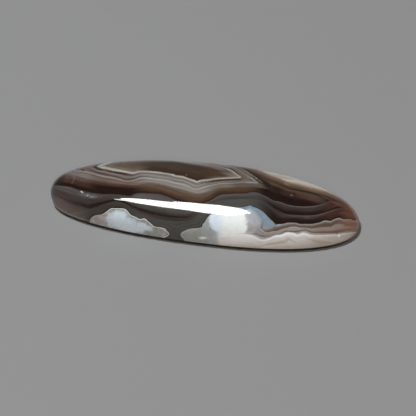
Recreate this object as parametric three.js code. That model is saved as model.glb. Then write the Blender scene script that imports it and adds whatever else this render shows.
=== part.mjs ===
// A long oval agate cabochon: one polished stone with a flat back, a narrow bevelled edge
// and a low dome whose crest lies a little towards the narrower end.
// Millimetres, +Z up. The origin is the middle of the flat back, +X the stone's long axis
// towards the wider end, and +Y its width.

import * as THREE from 'three';
import { mergeVertices } from 'three/addons/utils/BufferGeometryUtils.js';

// Driving dimensions, in millimetres
const LENGTH = 52;
const WIDTH = 19;
const HEIGHT = 7.2;
const EDGE_HEIGHT = 0.7;
const EDGE_BEVEL = 0.45;
const CREST_SHIFT = 3.6;

// How full each curve is: 2 is an ellipse, and a larger power is squarer
const OUTLINE_POWER = 2.3;
const LENGTHWISE_POWER = 2.0;
const CROSSWISE_POWER = 2.7;
const DOME_POWER = 2.7;

// How much wider the wide end is than the middle, as a share of the width
const EGG = 0.12;

// How finely the dome is faceted
const SIDES = 96;
const DOME_RINGS = 26;

const STONE = { color: 0x5c4c47, roughness: 0.08, metalness: 0 };

const HALF_LENGTH = LENGTH / 2;
const HALF_WIDTH = WIDTH / 2;
const QUARTER_TURN = Math.PI / 2;

// A power of a number's size that keeps its sign
function signedPower(value, power) {
  return Math.sign(value) * Math.abs(value) ** power;
}

// The lathe's half profile: radius 1 is the girdle, and heights are real.
// It starts on the axis under the stone and ends on the axis at the crest.
function profilePoints() {
  const points = [new THREE.Vector2(0, 0), new THREE.Vector2(1, 0)];
  const rise = HEIGHT - EDGE_HEIGHT;
  for (let ring = 0; ring <= DOME_RINGS; ring += 1) {
    const turn = QUARTER_TURN * (ring / DOME_RINGS);
    const radius = ring === DOME_RINGS ? 0 : Math.cos(turn);
    points.push(new THREE.Vector2(radius, EDGE_HEIGHT + rise * Math.sin(turn) ** (2 / DOME_POWER)));
  }
  return points;
}

// Where a point of the round lathe lies on the long oval stone. The ring under the bevel
// is drawn in by the bevel all round, and the dome leans more the nearer it is to its crest.
function shapedPoint(x, y, z) {
  const underside = z < EDGE_HEIGHT / 2;
  const radius = Math.min(1, Math.hypot(x, y));
  const angle = Math.atan2(y, x);
  const along = signedPower(Math.cos(angle), 2 / OUTLINE_POWER);
  const across = signedPower(Math.sin(angle), 2 / OUTLINE_POWER) * (1 + EGG * along);
  const inset = underside ? EDGE_BEVEL : 0;
  const lean = underside ? 0 : CREST_SHIFT * Math.sqrt(1 - radius ** 2);
  return [
    (HALF_LENGTH - inset) * radius ** (2 / LENGTHWISE_POWER) * along - lean,
    (HALF_WIDTH - inset) * radius ** (2 / CROSSWISE_POWER) * across,
    underside ? 0 : z,
  ];
}

function cabochonGeometry() {
  const lathe = new THREE.LatheGeometry(profilePoints(), SIDES);
  lathe.rotateX(QUARTER_TURN);
  const position = lathe.getAttribute('position');
  for (let index = 0; index < position.count; index += 1) {
    const place = [position.getX(index), position.getY(index), position.getZ(index)];
    position.setXYZ(index, ...shapedPoint(...place));
  }
  lathe.deleteAttribute('normal');
  lathe.deleteAttribute('uv');
  const geometry = mergeVertices(lathe, 1e-4);
  geometry.computeBoundingBox();
  const middle = geometry.boundingBox.getCenter(new THREE.Vector3());
  geometry.translate(-middle.x, -middle.y, 0);
  geometry.computeVertexNormals();
  return geometry;
}

const cabochon = new THREE.Mesh(cabochonGeometry(), new THREE.MeshStandardMaterial(STONE));
cabochon.name = 'agate_cabochon';

const model = new THREE.Group();
model.add(cabochon);

export default model;
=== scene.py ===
"""A long oval agate cabochon, polished, lying on a plain pale floor.

The stone is one piece. Geometry Nodes make its form from a few sizes. The bands of the agate are
drawn as curves in millimetres, which the mesh carries as attributes and the material turns into
colour.
"""
import math

import bpy
import numpy as np
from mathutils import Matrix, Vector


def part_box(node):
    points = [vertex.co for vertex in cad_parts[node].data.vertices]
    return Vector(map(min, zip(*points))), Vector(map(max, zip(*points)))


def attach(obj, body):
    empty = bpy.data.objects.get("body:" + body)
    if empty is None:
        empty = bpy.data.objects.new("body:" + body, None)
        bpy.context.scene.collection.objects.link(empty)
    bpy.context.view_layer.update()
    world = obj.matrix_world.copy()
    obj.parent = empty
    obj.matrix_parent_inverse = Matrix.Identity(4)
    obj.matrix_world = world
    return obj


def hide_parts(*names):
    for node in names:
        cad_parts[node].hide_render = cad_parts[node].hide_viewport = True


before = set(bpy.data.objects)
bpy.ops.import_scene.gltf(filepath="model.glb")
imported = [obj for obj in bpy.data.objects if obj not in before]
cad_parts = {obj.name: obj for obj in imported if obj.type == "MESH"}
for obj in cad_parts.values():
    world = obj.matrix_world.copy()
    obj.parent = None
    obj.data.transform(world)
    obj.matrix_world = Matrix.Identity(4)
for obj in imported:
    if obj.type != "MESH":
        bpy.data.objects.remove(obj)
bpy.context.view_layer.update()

bl_info = {
    "name": "Agate cabochon",
    "version": (1, 0, 0),
    "blender": (4, 5, 0),
    "location": "View3D > Sidebar > Agate",
    "description": "Makes a polished agate cabochon and the small studio that it is shown in",
    "category": "Object",
}

CAD_NODE = "agate_cabochon"
STONE_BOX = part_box(CAD_NODE)
MM = 0.001
QUARTER_TURN = math.pi / 2

# The photograph's view of the stone: how high the camera stands, how far round, and how far off
# in millimetres
VIEW_ELEVATION = math.radians(32.2)
VIEW_TURN = math.radians(10.6)
VIEW_DISTANCE = 325.0

# The bands are drawn as they are seen from there, in millimetres right of and above the middle
# of the flat back, most of them to a tenth. The whole drawing is then scaled and shifted a little
# to fit the stone, and the stretch between two points is drawn as a few short steps
DRAWING_SCALE = 1.0045
DRAWING_SHIFT = (0.05, -0.02)
CURVE_STEPS = 5

# How many times faster the bands run on the side that is turned away, and how finely the
# outline between the two sides is found
FAR_SIDE_PACE = 2.0
OUTLINE_STEPS = 700

# The share of the edge's height below which a point lies on the bevel or the flat back
BEVEL_TOP = 0.99

# The light, in metres. The softboxes that the polish shows are given by place, length, width and
# turn in degrees, all at one height. The lamps that light the matt surfaces are given by name,
# place, width and tint. The key is cool and the rest of the light warm, so that the floor is grey
# where all of it falls and a little warmer in the stone's short shadow. The wall top is the height
# of a direction of length 1 below which the polish shows the room paler, and the background past
# the floor looks as bright as the floor
SOFTBOX_HEIGHT = 0.4
SOFTBOXES = (
    (-0.041, -0.031, 0.265, 0.101, 75), (-0.100, -0.072, 0.206, 0.157, 8),
    (-0.212, -0.097, 0.031, 0.021, 0), (-0.034, 0.022, 0.120, 0.091, 14),
)
LAMPS = (
    ("key", (-0.33, 0.0, 1.0), 0.2, (0.945, 1.0, 1.045)),
    ("fill", (0.17, -0.915, 0.586), 0.25, (1.1, 1.0, 0.9)),
)
SKY_TINT = (1.6, 0.95, 0.6)
WALL_TOP = 0.6
FLOOR_BRIGHTNESS = 0.287

# The camera's lens and sensor, in millimetres, and how far its picture is shifted
LENS = 168.0
SENSOR_WIDTH = 36.0
PICTURE_SHIFT = (0.0103, 0.0167)

# Stretches that two of the curves share: the floor of the brown tip and the top of the brown layer
TIP_FLOOR_RUN = (
    (9.9, 3.3), (10.7, 2.9), (11.6, 2.4), (12.9, 2.1), (13.7, 1.7), (15, 1.5), (16.9, 1.4), (18.6, 1.5),
    (19.4, 1.7), (20, 1.9), (20.9, 2.4),
)
BROWN_LAYER_RUN = (
    (12, -1.6), (13.1, -1.5), (14, -1.3), (15.2, -1.3), (16, -1.5), (16.8, -1.5), (18, -1.5),
    (18.6, -1.4), (19.4, -1.2), (20.2, -0.9), (21.1, -1), (21.5, -0.8), (22.2, -0.5), (22.7, -0.5),
    (23.2, -0.7), (24.4, -0.7), (25, -0.9),
)

# The closed curves: the rims of the eye's rings from the inside out, the brown band's rim, the
# lobes and the layered corner
EYE_RIM = (
    (-17.6, 8.1), (-16.5, 7.9), (-15.2, 7.6), (-13.1, 7.2), (-11.8, 7.0), (-11.0, 7.2), (-9.7, 7.3),
    (-8.0, 7.2), (-6.7, 7.0), (-5.5, 6.8), (-4.4, 6.5), (-3.5, 6.4), (-2.7, 6.1), (-1.8, 5.8),
    (-1.1, 5.6), (-0.5, 5.8), (0.7, 5.9), (2.0, 6.1), (3.7, 6.2), (5.4, 6.25), (6.1, 6.28), (5.6, 6.65),
    (4.8, 7.25), (4.4, 7.45), (3.7, 7.7), (2.6, 8.05), (1.5, 8.25), (0.0, 8.4), (-3.3, 8.9),
    (-6.5, 9.3), (-10, 9.6), (-13.5, 9.4), (-16, 8.7),
)
SECOND_RIM = (
    (-21.8, 7.5), (-20.1, 7.3), (-18.9, 7.1), (-17.7, 6.8), (-16.5, 6.5), (-15.3, 6.3), (-14.1, 6.0),
    (-13.2, 5.7), (-12.3, 5.7), (-11.5, 5.9), (-10.5, 6.2), (-9.0, 6.1), (-7.8, 5.9), (-6.5, 5.8),
    (-5.1, 5.4), (-3.4, 5.1), (-2.6, 4.8), (-1.8, 4.4), (-1.1, 4.3), (-0.7, 4.4), (0.1, 4.7),
    (0.9, 4.9), (1.8, 5.1), (2.9, 5.3), (4.1, 5.3), (6.5, 5.5), (7.7, 5.5), (8.9, 5.4), (8.4, 5.7),
    (7.9, 6.1), (6.8, 6.9), (5.3, 7.8), (4.1, 8.1), (2.3, 8.5), (0, 9.1), (-3, 9.8), (-8, 10.3),
    (-13, 10.2), (-17.5, 9.4), (-20.5, 8.4),
)
THIRD_RIM = (
    (-23, 7.0), (-21.5, 6.6), (-19, 6.0), (-16.5, 5.5), (-14, 5.2), (-11.5, 5.0), (-9, 5.3),
    (-6.5, 4.9), (-4, 4.2), (-1.3, 3.5), (0.5, 3.8), (1.7, 4.5), (2.8, 4.8), (5.3, 4.8), (7.7, 4.8),
    (10.7, 4.4), (9.9, 5.2), (8.8, 6.0), (7.8, 6.7), (6.3, 7.65), (5.5, 8.1), (4.2, 8.5), (2.5, 9.0),
    (0, 9.8), (-5, 10.7), (-10, 11.0), (-15, 10.6), (-19.5, 9.3), (-22.3, 7.9),
)
BROWN_RIM = (
    (-25.4, 5.0), (-24.7, 5.0), (-22.3, 4.7), (-21.1, 4.3), (-19.9, 4.0), (-18.4, 3.7), (-16.7, 3.5),
    (-15.5, 3.5), (-14, 3.4), (-12.4, 3.2), (-11.7, 3.5), (-10.6, 3.7), (-8.4, 3.6), (-7.3, 3.5),
    (-6.3, 3.2), (-5.5, 2.9), (-4.6, 2.5), (-2.3, 1.9), (-0.7, 1.8), (0.3, 2.1), (1.2, 2.5), (2, 3.0),
    (2.8, 3.4), (3.7, 3.5), (5.4, 3.6), (6.9, 3.6), (7.9, 3.8), (9, 3.7), *TIP_FLOOR_RUN, (20, 2.9),
    (19.1, 3.3), (17.4, 3.8), (15.8, 4.3), (14.1, 4.7), (12.4, 5.4), (10.7, 6.0), (9.2, 6.7),
    (6.8, 7.8), (5.2, 8.3), (3, 9.3), (-2, 11.4), (-8, 12.3), (-15, 12.0), (-20, 10.6), (-23.5, 8.4),
    (-25.6, 6.4),
)
LEFT_LOBE = (
    (-19.0, -0.9), (-18.4, -0.2), (-17.8, 0), (-17, 0.1), (-16.2, 0.6), (-15.5, 1.08), (-14.6, 1.1),
    (-13.4, 1.05), (-12.9, 0.8), (-12.2, 0), (-11.5, -0.3), (-10.7, -0.7), (-9.9, -0.6), (-9.3, -1.1),
    (-8.7, -1.6), (-8.2, -2), (-7.2, -2.1), (-6.5, -2.3), (-6.2, -2.7), (-5.8, -3.1), (-6.1, -3.5),
    (-6.8, -3.8), (-9, -4.8), (-14, -4), (-18.5, -2.3),
)
RIGHT_LOBE = (
    (-3.9, -3.4), (-3.7, -2.9), (-3.1, -2.6), (-2.3, -2.3), (-1.3, -2.2), (-0.4, -2), (-0.2, -1.5),
    (0.1, -1.2), (0.6, -0.4), (1.1, 0.1), (2, 0.8), (3.5, 1.3), (4.8, 1.3), (6, 1.3), (7, 1.5),
    (7.7, 1.65), (8.2, 1.42), (9.05, 1.1), (9.83, 0.6), (10.5, -0.07), (11.12, -0.72), (11.95, -1.65),
    (11.3, -2.6), (9.7, -4.5), (8, -7), (0, -6.5), (-2.5, -5), (-3.4, -4.0),
)
LAYERED_CORNER = (
    (6, -3.1), (6.8, -3.1), (7.6, -3.1), (8.6, -2.9), (9.2, -2.5), (9.5, -2.0), (9.6, -1.2),
    (9.7, -1.6), (9.8, -2.2), (10.4, -2.4), (11.3, -2.2), *BROWN_LAYER_RUN, (27, -1.2), (27, -8),
    (0.6, -8), (1.0, -4.4), (2.4, -3.6), (4.2, -3.4),
)

# Open curves, from left to right: the crease under the brown band, the line over the brown band
# and on to the stone's right end, the floor of the brown tip, and the layers of the lower right
# corner from the top down
CREASE = (
    (-28, 4.6), (-24.5, 3.7), (-24, 3.3), (-22.3, 2.2), (-20.7, 1.6), (-19.4, 1.2), (-18.3, 1.4),
    (-17.2, 1.8), (-16.2, 2.1), (-15, 2.4), (-14, 2.3), (-13, 1.9), (-12.2, 1.35), (-10.7, 0.6),
    (-9, 0), (-7.7, -0.3), (-6, -0.6), (-4, -0.7), (-2.5, -0.6), (-1.6, -0.1), (-0.8, 0.7), (0, 1.5),
    (2, 2.4), (3.7, 2.8), (6, 2.9), (9, 2.8), (10, 2.3), (11, 1.6), (12, 0.8), (13.3, 0.1), (14.5, 0),
    (15.7, -0.1), (16.9, -0.3), (18.1, -0.3), (19.1, 0), (19.9, 0.2), (20.7, 0.5), (21.5, 0.8),
    (22.3, 1), (23.5, 1), (25.7, 0.8), (28, 0.6),
)
UPPER_LINE = (
    (-32, 3), (-25.6, 6.4), (-23.5, 8.4), (-20, 10.6), (-15, 12), (-8, 12.3), (-2, 11.4), (3, 9.3),
    (5.2, 8.3), (6.8, 7.7), (9.2, 6.7), (10.7, 6.0), (12.4, 5.4), (14.1, 4.7), (15.8, 4.3), (17.4, 3.8),
    (19.1, 3.3), (20.8, 2.8), (22.4, 2.1), (23.8, 1.3), (25, 0.4), (26, -0.4), (32, -3),
)
BROWN_FLOOR = ((8, 3.7), *TIP_FLOOR_RUN, (24, 3))
BROWN_LAYER = ((9, -1), *BROWN_LAYER_RUN, (28, -1.2))
PINK_LAYER = (
    (6, -2.6), (8.6, -2.0), (9.6, -2.3), (10.1, -2.8), (10.7, -2.9), (11.5, -2.7), (12.1, -2.7),
    (12.8, -2.4), (13.6, -2.2), (14.3, -2), (15.2, -1.9), (16, -2.1), (17.1, -2.15), (18, -2.28),
    (19.2, -2.1), (21.1, -2), (21.8, -1.6), (22.7, -1.5), (23.3, -1.7), (24, -1.9), (28, -2.3),
)
DARK_LAYER = (
    (6, -2.9), (8.5, -3.2), (9.2, -3.5), (10.1, -3.6), (11.1, -3.5), (11.9, -3.2), (12.7, -3.1),
    (13.6, -2.7), (14.8, -2.8), (15.7, -2.7), (16.4, -2.5), (17.1, -2.5), (17.9, -2.9), (19.3, -3),
    (22, -3), (23.3, -2.8), (24.4, -2.6), (28, -2.5),
)
WHITE_LAYER = (
    (0, -3.5), (4, -3.4), (6.4, -3.2), (7.6, -3.3), (8.2, -3.45), (8.9, -3.8), (9.5, -4.1),
    (10.1, -4.1), (11, -3.8), (11.7, -3.45), (12.9, -3.3), (13.6, -3), (14.3, -2.9), (14.9, -3),
    (15.6, -3.3), (16.4, -3), (17.1, -3.1), (18.1, -3.3), (21.8, -3.2), (23.3, -3), (25.3, -2.8),
    (28, -2.7),
)
BASE_LAYER = (
    (0, -5.0), (4, -5.3), (8.5, -5.6), (11.8, -5.8), (15.2, -5.8), (18.5, -5.6), (21.8, -5.1),
    (24.3, -4.2), (25.7, -3.3), (28, -3.2),
)

# The bright heart of the right lobe, and the lilac cheek to the right of it
LOBE_HEART = (
    (0.95, -0.4), (0.9, -1.3), (1.2, -2.0), (1.8, -2.6), (2.4, -3.4), (2.7, -4.4), (5.0, -4.6),
    (6.2, -3.6), (6.8, -3.0), (7.1, -2.4), (7.2, -1.4), (7.0, -0.2), (6.0, 0.7), (3.5, 0.9), (1.8, 0.4),
)
LOBE_CHEEK = (
    (6.0, 0.6), (7.4, 0.8), (8.3, 0.8), (9.1, 0.1), (9.5, -0.7), (9.6, -1.6), (9.3, -2.2), (8.6, -2.8),
    (7.6, -3.4), (6.2, -3.4), (6.0, -1.4),
)

# Soft marks over the bands, among them a painted reflection and a painted highlight. Each has a colour, the
# most that it covers, its ovals and its streaks.
# Ovals are given by their middle, half-lengths and turn in degrees, and streaks by points from end
# to end and half their width in the middle, which shrinks to a hair's at the tips
STREAK_TIP = 0.01
TIP_SPECK = (14.7, 3.3)
SPECK_SIZE = (0.09, 0.09)
SPECK_RING_RADIUS = 0.62
SPECK_RING_DOTS = 11
CORE_OVALS = (
    ((-14.2, -0.7), (1.2, 0.9), -15), ((-13.0, -1.7), (2.3, 0.85), -15), ((-10.3, -1.9), (1.0, 0.45), -20),
)
CRYSTAL_OVALS = (((-19.0, 3.2), (1.5, 0.36), -10), ((-12.0, -1.6), (1.6, 0.6), -25))
MARKS = {
    "night_glow": ("night_brown", 0.85, (
        ((-24.2, 5.65), (0.9, 0.4), 40), ((10.6, 5), (0.9, 0.5), -45), ((12.2, 4.3), (1.1, 0.4), -25)), ()),
    "mauve_glow": ("mauve", 0.7, (((-24.9, 0.7), (1.2, 1.3), -35), ((-22.4, -0.5), (2.4, 0.5), -28)), ()),
    "tip_glow": ("tip_brown", 0.85, (
        ((18.5, 2.75), (1.9, 0.45), -20), ((-22.7, 6.35), (0.45, 0.4), -20)), ()),
    "rust_glow": ("rust", 0.5, (
        ((24.8, 0.1), (1.1, 1.1), -35), ((17.3, -0.38), (0.5, 0.12), 0)), (
        (((20.8, 2.4), (22.2, 1.9), (24.0, 1.15), (25.3, -0.2), (25.8, -1.4)), 0.3),
        (((22.3, 0.3), (23.6, 0.35), (24.8, -0.4)), 0.2),
        (((23.0, -1.95), (24.2, -1.65), (25.8, -1.25)), 0.2),
        (((22.6, -2.4), (24.0, -2.3), (25.6, -2.0)), 0.16),)),
    "mauve_line": ("mauve", 0.8, (), (
        (((12.0, 1.0), (13.8, 0.0), (16.3, -0.16), (18.9, -0.05), (21.1, 0.62), (22.5, 1.0), (25, 1)), 0.08),
        (((12.2, 2.3), (15.0, 1.45), (17.6, 1.38), (19.4, 1.7), (21.2, 2.5)), 0.06),)),
    "left_arc": ("band_mid", 0.5, (), ((((-22.3, 7.2), (-21.7, 6.6), (-21.7, 5.9), (-22.1, 5.1)), 0.1),)),
    "blue_cloud": ("cloud_blue", 0.5, (((-19.2, 3.2), (1.3, 0.26), -10),), ()),
    "snow_glow": ("snow", 0.75, (((5.6, -3.9), (2.8, 0.75), 0),), ()),
    "lilac_line": ("lilac", 0.75, (), (
        (((6.6, -3.0), (8.2, -3.25), (9.5, -3.85), (10.5, -3.75), (11.8, -3.3), (13.2, -2.85)), 0.16),)),
    "cheek_line": ("slate_blue", 0.5, (), ((((8.9, 0.35), (9.6, -0.5), (9.8, -1.3), (9.65, -2.0)), 0.06),)),
    "tip_edge": ("tan_streak", 0.45, (), (
        (((22.4, 3.3), (23.4, 2.6), (24.6, 1.35), (25.35, 0.1), (25.75, -1.3), (25.7, -2.2), (25.5, -3)),
         0.3),)),
    "notch_glow": ("pink_grey", 0.45, (((10.2, -2.35), (1.2, 0.35), 5),), ()),
    "crease_line": ("line_dark", 0.55, (), (
        (((-24.9, 3.5), (-23.2, 2.7), (-21.4, 1.95), (-19.5, 1.4), (-18.2, 1.5)), 0.14),)),
    # Painted reflection: this paler streak along the top outline over the eye stands in for the gloss that
    # the far edge of the dome shows
    "rim_veil": ("band_mid", 0.8, (), (
        (((-6.0, 9.2), (-3.3, 8.8), (0.0, 8.4), (1.6, 8.25), (2.7, 8.0), (4.1, 7.6)), 0.26),)),
    "eye_tip_glow": ("band_mid", 0.8, (
        ((4.5, 6.75), (1.2, 0.26), -14), ((2.4, 7.75), (1.2, 0.14), -16)), ()),
    "dark_line": ("line_dark", 0.85, (
        ((5.9, 5.93), (0.4, 0.11), 4), ((7.95, 5.85), (0.28, 0.08), -22), ((22.3, -3.05), (0.05, 0.25), 0),
        ((1.1, -2.35), (0.07, 0.25), -10)), (
        (((-16.2, 7.2), (-14.8, 7.12), (-13.6, 6.94), (-12.2, 6.8)), 0.13),
        (((-18.6, 8.0), (-17.6, 7.8), (-16.8, 7.45)), 0.17),
        (((-20.7, 7.75), (-19.8, 7.4)), 0.11),
        (((-1.0, 5.2), (0.8, 5.5), (2.3, 5.73), (3.9, 5.88), (5.4, 5.93), (6.6, 5.98)), 0.1),
        (((4.0, 8.0), (4.6, 7.7), (5.3, 7.13), (6.3, 6.45)), 0.07),
        (((7.5, 6.8), (8.3, 6.2), (9.0, 5.65), (9.8, 5.15)), 0.13),
        (((6.4, 7.95), (8.1, 6.85), (9.4, 6.0), (10.5, 5.1), (11.2, 4.3)), 0.2),
        (((11.8, 5.45), (14.1, 4.44), (18.1, 3.66), (19.7, 2.87), (20.8, 2.4)), 0.1),)),
    "pale_line": ("rim_white", 0.7, (), (
        (((-3.0, -3.3), (-2.2, -2.75), (-1.0, -2.65)), 0.1),
        (((7.2, 6.6), (8.2, 5.95), (9.0, 5.4)), 0.07),
        (((6.6, 5.38), (7.8, 5.42), (9.0, 5.38)), 0.06),
        (((6.0, 7.95), (7.8, 6.75), (9.9, 5.3)), 0.05),
        (((24.0, -4.0), (24.8, -3.4), (25.4, -2.8)), 0.12),
        # Painted highlight: this streak along the foot of the left end is where the girdle catches the light
        (((-25.2, 2.1), (-24.2, 1.1), (-22.5, 0.1), (-20.6, -0.6), (-18.6, -1.15)), 0.12),)),
    "olive_line": ("tan_streak", 0.45, (), (
        (((11.2, 6.9), (12.6, 6.45), (14.0, 6.05), (15.4, 5.9)), 0.16),)),
    "cream_streak": ("warm_bone", 0.75, (), (
        (((12.6, 6.2), (13.7, 5.78), (15, 5.65), (15.8, 5.55), (17.8, 5.1), (19.8, 4.35), (21.4, 3.5)),
         0.13),
        (((-8.7, -1.75), (-7.2, -2.22), (-6.25, -2.72), (-5.92, -3.1), (-6.4, -3.55)), 0.07),
        (((-3.6, -3.5), (-3.72, -3.1), (-3.1, -2.72), (-2.2, -2.4), (-1.0, -2.28)), 0.06),)),
    "tan_streak": ("tan_streak", 0.5, (), (
        (((8.4, -5.3), (10.8, -4.85), (12.5, -4.55), (13.6, -4.35), (14, -4), (14.5, -4.2), (15.6, -4.7)),
         0.26),
        (((17.0, -3.9), (19.5, -4.5), (21.5, -4.6)), 0.3),
        (((13.2, 5.45), (14.2, 4.95)), 0.09),)),
    "snow_spot": ("snow", 0.9, (
        ((-0.15, -3.85), (0.55, 0.2), 0), ((22.65, -3.5), (0.2, 0.2), 0), ((-20.4, 3.85), (0.2, 0.07), -35),
        (TIP_SPECK, SPECK_SIZE, 0), ((-5.1, 6.75), (0.12, 0.08), 0), ((-2.95, 6.65), (0.06, 0.06), 0)), ()),
    "speck_ring": ("dark_ring_and_bevel_shade", 0.9, tuple(
        ((TIP_SPECK[0] + SPECK_RING_RADIUS * math.cos(math.tau * dot / SPECK_RING_DOTS),
          TIP_SPECK[1] + SPECK_RING_RADIUS * math.sin(math.tau * dot / SPECK_RING_DOTS)), SPECK_SIZE, 0)
        for dot in range(SPECK_RING_DOTS)), ()),
}


def linear(hex_colour):
    """Turns an sRGB hex colour into linear red, green, blue and alpha."""
    channels = [int(hex_colour[start:start + 2], 16) / 255 for start in (1, 3, 5)]
    return tuple(c / 12.92 if c <= 0.04045 else ((c + 0.055) / 1.055) ** 2.4 for c in channels) + (1.0,)


def colour(hex_colour, name, description):
    """A colour that the panel shows, given as sRGB hex."""
    return bpy.props.FloatVectorProperty(
        name=name, description=description, default=linear(hex_colour), size=4,
        subtype="COLOR", min=0, max=1,
    )


def shown_number(default, name, description, **settings):
    """A number that the panel shows."""
    return bpy.props.FloatProperty(name=name, description=description, default=default, **settings)


def shown_size(default, name, description):
    """A size that the panel shows in the scene's own unit of length."""
    return shown_number(default, name, description, unit="LENGTH")


def shown_count(default, name, description, least):
    """A count that the panel shows."""
    return bpy.props.IntProperty(name=name, description=description, default=default, min=least)


class CabochonForm(bpy.types.PropertyGroup):
    """The sizes that the cutter gave the stone."""

    length: shown_size(52 * MM, "Length", "From tip to tip at the girdle")
    width: shown_size(19 * MM, "Width", "Across the middle of the girdle")
    height: shown_size(STONE_BOX[1].z - STONE_BOX[0].z, "Height", "From the flat back to the crest")
    edge_height: shown_size(0.7 * MM, "Edge height", "Height of the girdle over the flat back")
    edge_bevel: shown_size(0.45 * MM, "Edge bevel", "How far the flat back is drawn in under the girdle")
    crest_shift: shown_size(3.6 * MM, "Crest shift", "How far the crest lies towards the narrow end")
    outline_power: shown_number(2.3, "Outline fullness", "2 is an ellipse, more is squarer")
    lengthwise_power: shown_number(2.0, "Lengthwise fullness", "How full the dome is along the stone")
    crosswise_power: shown_number(2.7, "Crosswise fullness", "How full the dome is across the stone")
    dome_power: shown_number(2.7, "Dome fullness", "How steeply the dome leaves the girdle")
    egg: shown_number(0.12, "Egg shape", "How much wider the wide end is", subtype="FACTOR")
    sides: shown_count(560, "Sides", "Faces round the girdle", 16)
    dome_rings: shown_count(132, "Dome rings", "Rings of faces over the dome", 8)
    back_rings: shown_count(32, "Back rings", "Rings of faces over the flat back", 2)
    bevel_rings: shown_count(3, "Bevel rings", "Rings of faces up the bevel", 1)


class AgateColours(bpy.types.PropertyGroup):
    """The colours of the agate's bands."""

    rim_white: colour("#aba59e", "Rim white", "The pale lines round the eye")
    band_light: colour("#8d8782", "Light band", "The lighter fine bands")
    band_mid: colour("#77716c", "Middle band", "The fine bands between light and dark")
    band_shadow: colour("#5d544e", "Dark band", "The gaps between the fine bands")
    tan: colour("#6d6156", "Tan", "Where the fine bands fade into brown")
    umber: colour("#5a4b3e", "Umber", "The upper part of the broad brown band")
    bark: colour("#4f3c2e", "Bark", "The middle of the broad brown band")
    deep_brown: colour("#3f2d24", "Deep brown", "The lower part of the brown band")
    wine_brown: colour("#462e27", "Wine brown", "The reddish brown near the ends")
    night_brown: colour("#221613", "Night brown", "The darkest brown, near the ends")
    eye_brown: colour("#48382a", "Eye brown", "The clear brown inside the eye")
    eye_lip: colour("#3a2e27", "Eye lip", "The dark lip just inside the pale line")
    chalcedony: colour("#54504e", "Grey chalcedony", "The grey under the brown band")
    moss_grey: colour("#4b4a46", "Moss grey", "The greenish grey on the right")
    char_grey: colour("#3c3533", "Char grey", "The dark grey to the right of the right lobe")
    slate: colour("#3f3936", "Slate", "The dark grey brown between the white lobes")
    line_dark: colour("#261d19", "Dark line", "The thin dark line at the crease")
    # Painted shade: this dark brown is laid on the bevel and the flat back for the dark line at the stone's
    # foot, and it also draws the ring round the small speck in the brown tip
    dark_ring_and_bevel_shade: colour("#24170f", "Dark edge", "The ground bevel and the flat back")
    plum_grey: colour("#453b3b", "Plum grey", "The dark grey at the left end")
    mauve: colour("#6a5a55", "Mauve", "The milky left end, and the line under the brown tip")
    milk_blue: colour("#d8e8f4", "Milk blue", "The bluish heart of the white lobes")
    milk_white: colour("#eef6f6", "Milk white", "The brightest part of the right lobe")
    milk_grey: colour("#a2abb0", "Milk grey", "The thinner parts of the white lobes")
    milk_green: colour("#9aa29d", "Greenish milk", "The thin left part of the right lobe")
    steel_blue: colour("#80909c", "Steel blue", "The right flank of the right lobe")
    slate_blue: colour("#4f5962", "Slate blue", "The dark edge of that flank")
    lilac: colour("#a8aeb6", "Lilac", "The cheek of the right lobe")
    snow: colour("#f8fafc", "Snow", "The top of the white layer")
    bone: colour("#e0dfde", "Bone", "The body of the white layer")
    warm_bone: colour("#cdc9c1", "Warm bone", "The white layer near the edge")
    tan_streak: colour("#a48f79", "Tan streak", "The veins in the white layer")
    pink_grey: colour("#a8a09a", "Pink grey", "The thin layers over the white one")
    layer_grey: colour("#8b8580", "Layer grey", "The greyer layers over the white one")
    earth: colour("#6b5f59", "Earth", "The brown layer at the lower right")
    cream: colour("#bfbab0", "Cream", "The pale upper edge at the right")
    clay: colour("#745c4d", "Clay", "Between the brown and the pale upper edge")
    sand: colour("#a3937f", "Sand", "The inner part of the pale upper edge")
    rust: colour("#80533f", "Rust", "The reddish glow of the right tip")
    rose: colour("#977a6c", "Rose", "The reddish grey that the thin layers take on near the right tip")
    tip_brown: colour("#54413a", "Tip brown", "The clearer brown towards the right tip")
    cloud_blue: colour("#6f6f75", "Cloud blue", "The cloud of crystals under the brown band")


class StudioSettings(bpy.types.PropertyGroup):
    """The floor, the light and the camera."""

    floor_colour: colour("#8f8f8f", "Floor", "The plain floor")
    floor_size: shown_size(3.0, "Floor size", "Side of the square floor")
    sky: shown_number(0.042, "Soft light", "Strength of the light from all round")
    sky_gloss: shown_number(0.03, "Reflected room", "How bright the room looks in the polish")
    wall_glow: shown_number(0.1, "Reflected walls", "How much paler the room looks near the floor")
    softbox_glow: shown_number(24.0, "Softboxes", "How bright the softboxes look in the polish")
    key_power: shown_number(9.34, "Key", "Power of the lamp high on the left", unit="POWER")
    fill_power: shown_number(4.3, "Fill", "Power of the lamp behind the camera", unit="POWER")


def socket_of(sockets, key):
    """The socket at a number, or the first one in use with a name."""
    if isinstance(key, int):
        return sockets[key]
    return next(socket for socket in sockets if socket.name == key and socket.enabled)


def add_node(tree, kind, inputs=None, stops=None, **settings):
    """Adds a node with its settings. An input is a value, or the node or socket that feeds it."""
    node = tree.nodes.new(kind)
    for name, value in settings.items():
        setattr(node, name, value)
    if stops:
        ramp = node.color_ramp.elements
        ramp[0].color = stops[0][1]
        ramp[1].color = stops[-1][1]
        for position, shade in stops[1:-1]:
            ramp.new(position).color = shade
    for key, value in (inputs or {}).items():
        target = socket_of(node.inputs, key)
        if isinstance(value, bpy.types.Node):
            value = next(output for output in value.outputs if output.enabled)
        if isinstance(value, bpy.types.NodeSocket):
            tree.links.new(value, target)
        else:
            target.default_value = value
    return node


MATH = "ShaderNodeMath"

# How far the columns are crowded, the gap that the closed seams are merged over, in metres, and
# the fold from which an edge is left sharp
COLUMN_CROWDING = 0.15
SEAM_GAP = 1e-6
SHARP_FOLD = math.radians(45)


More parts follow.
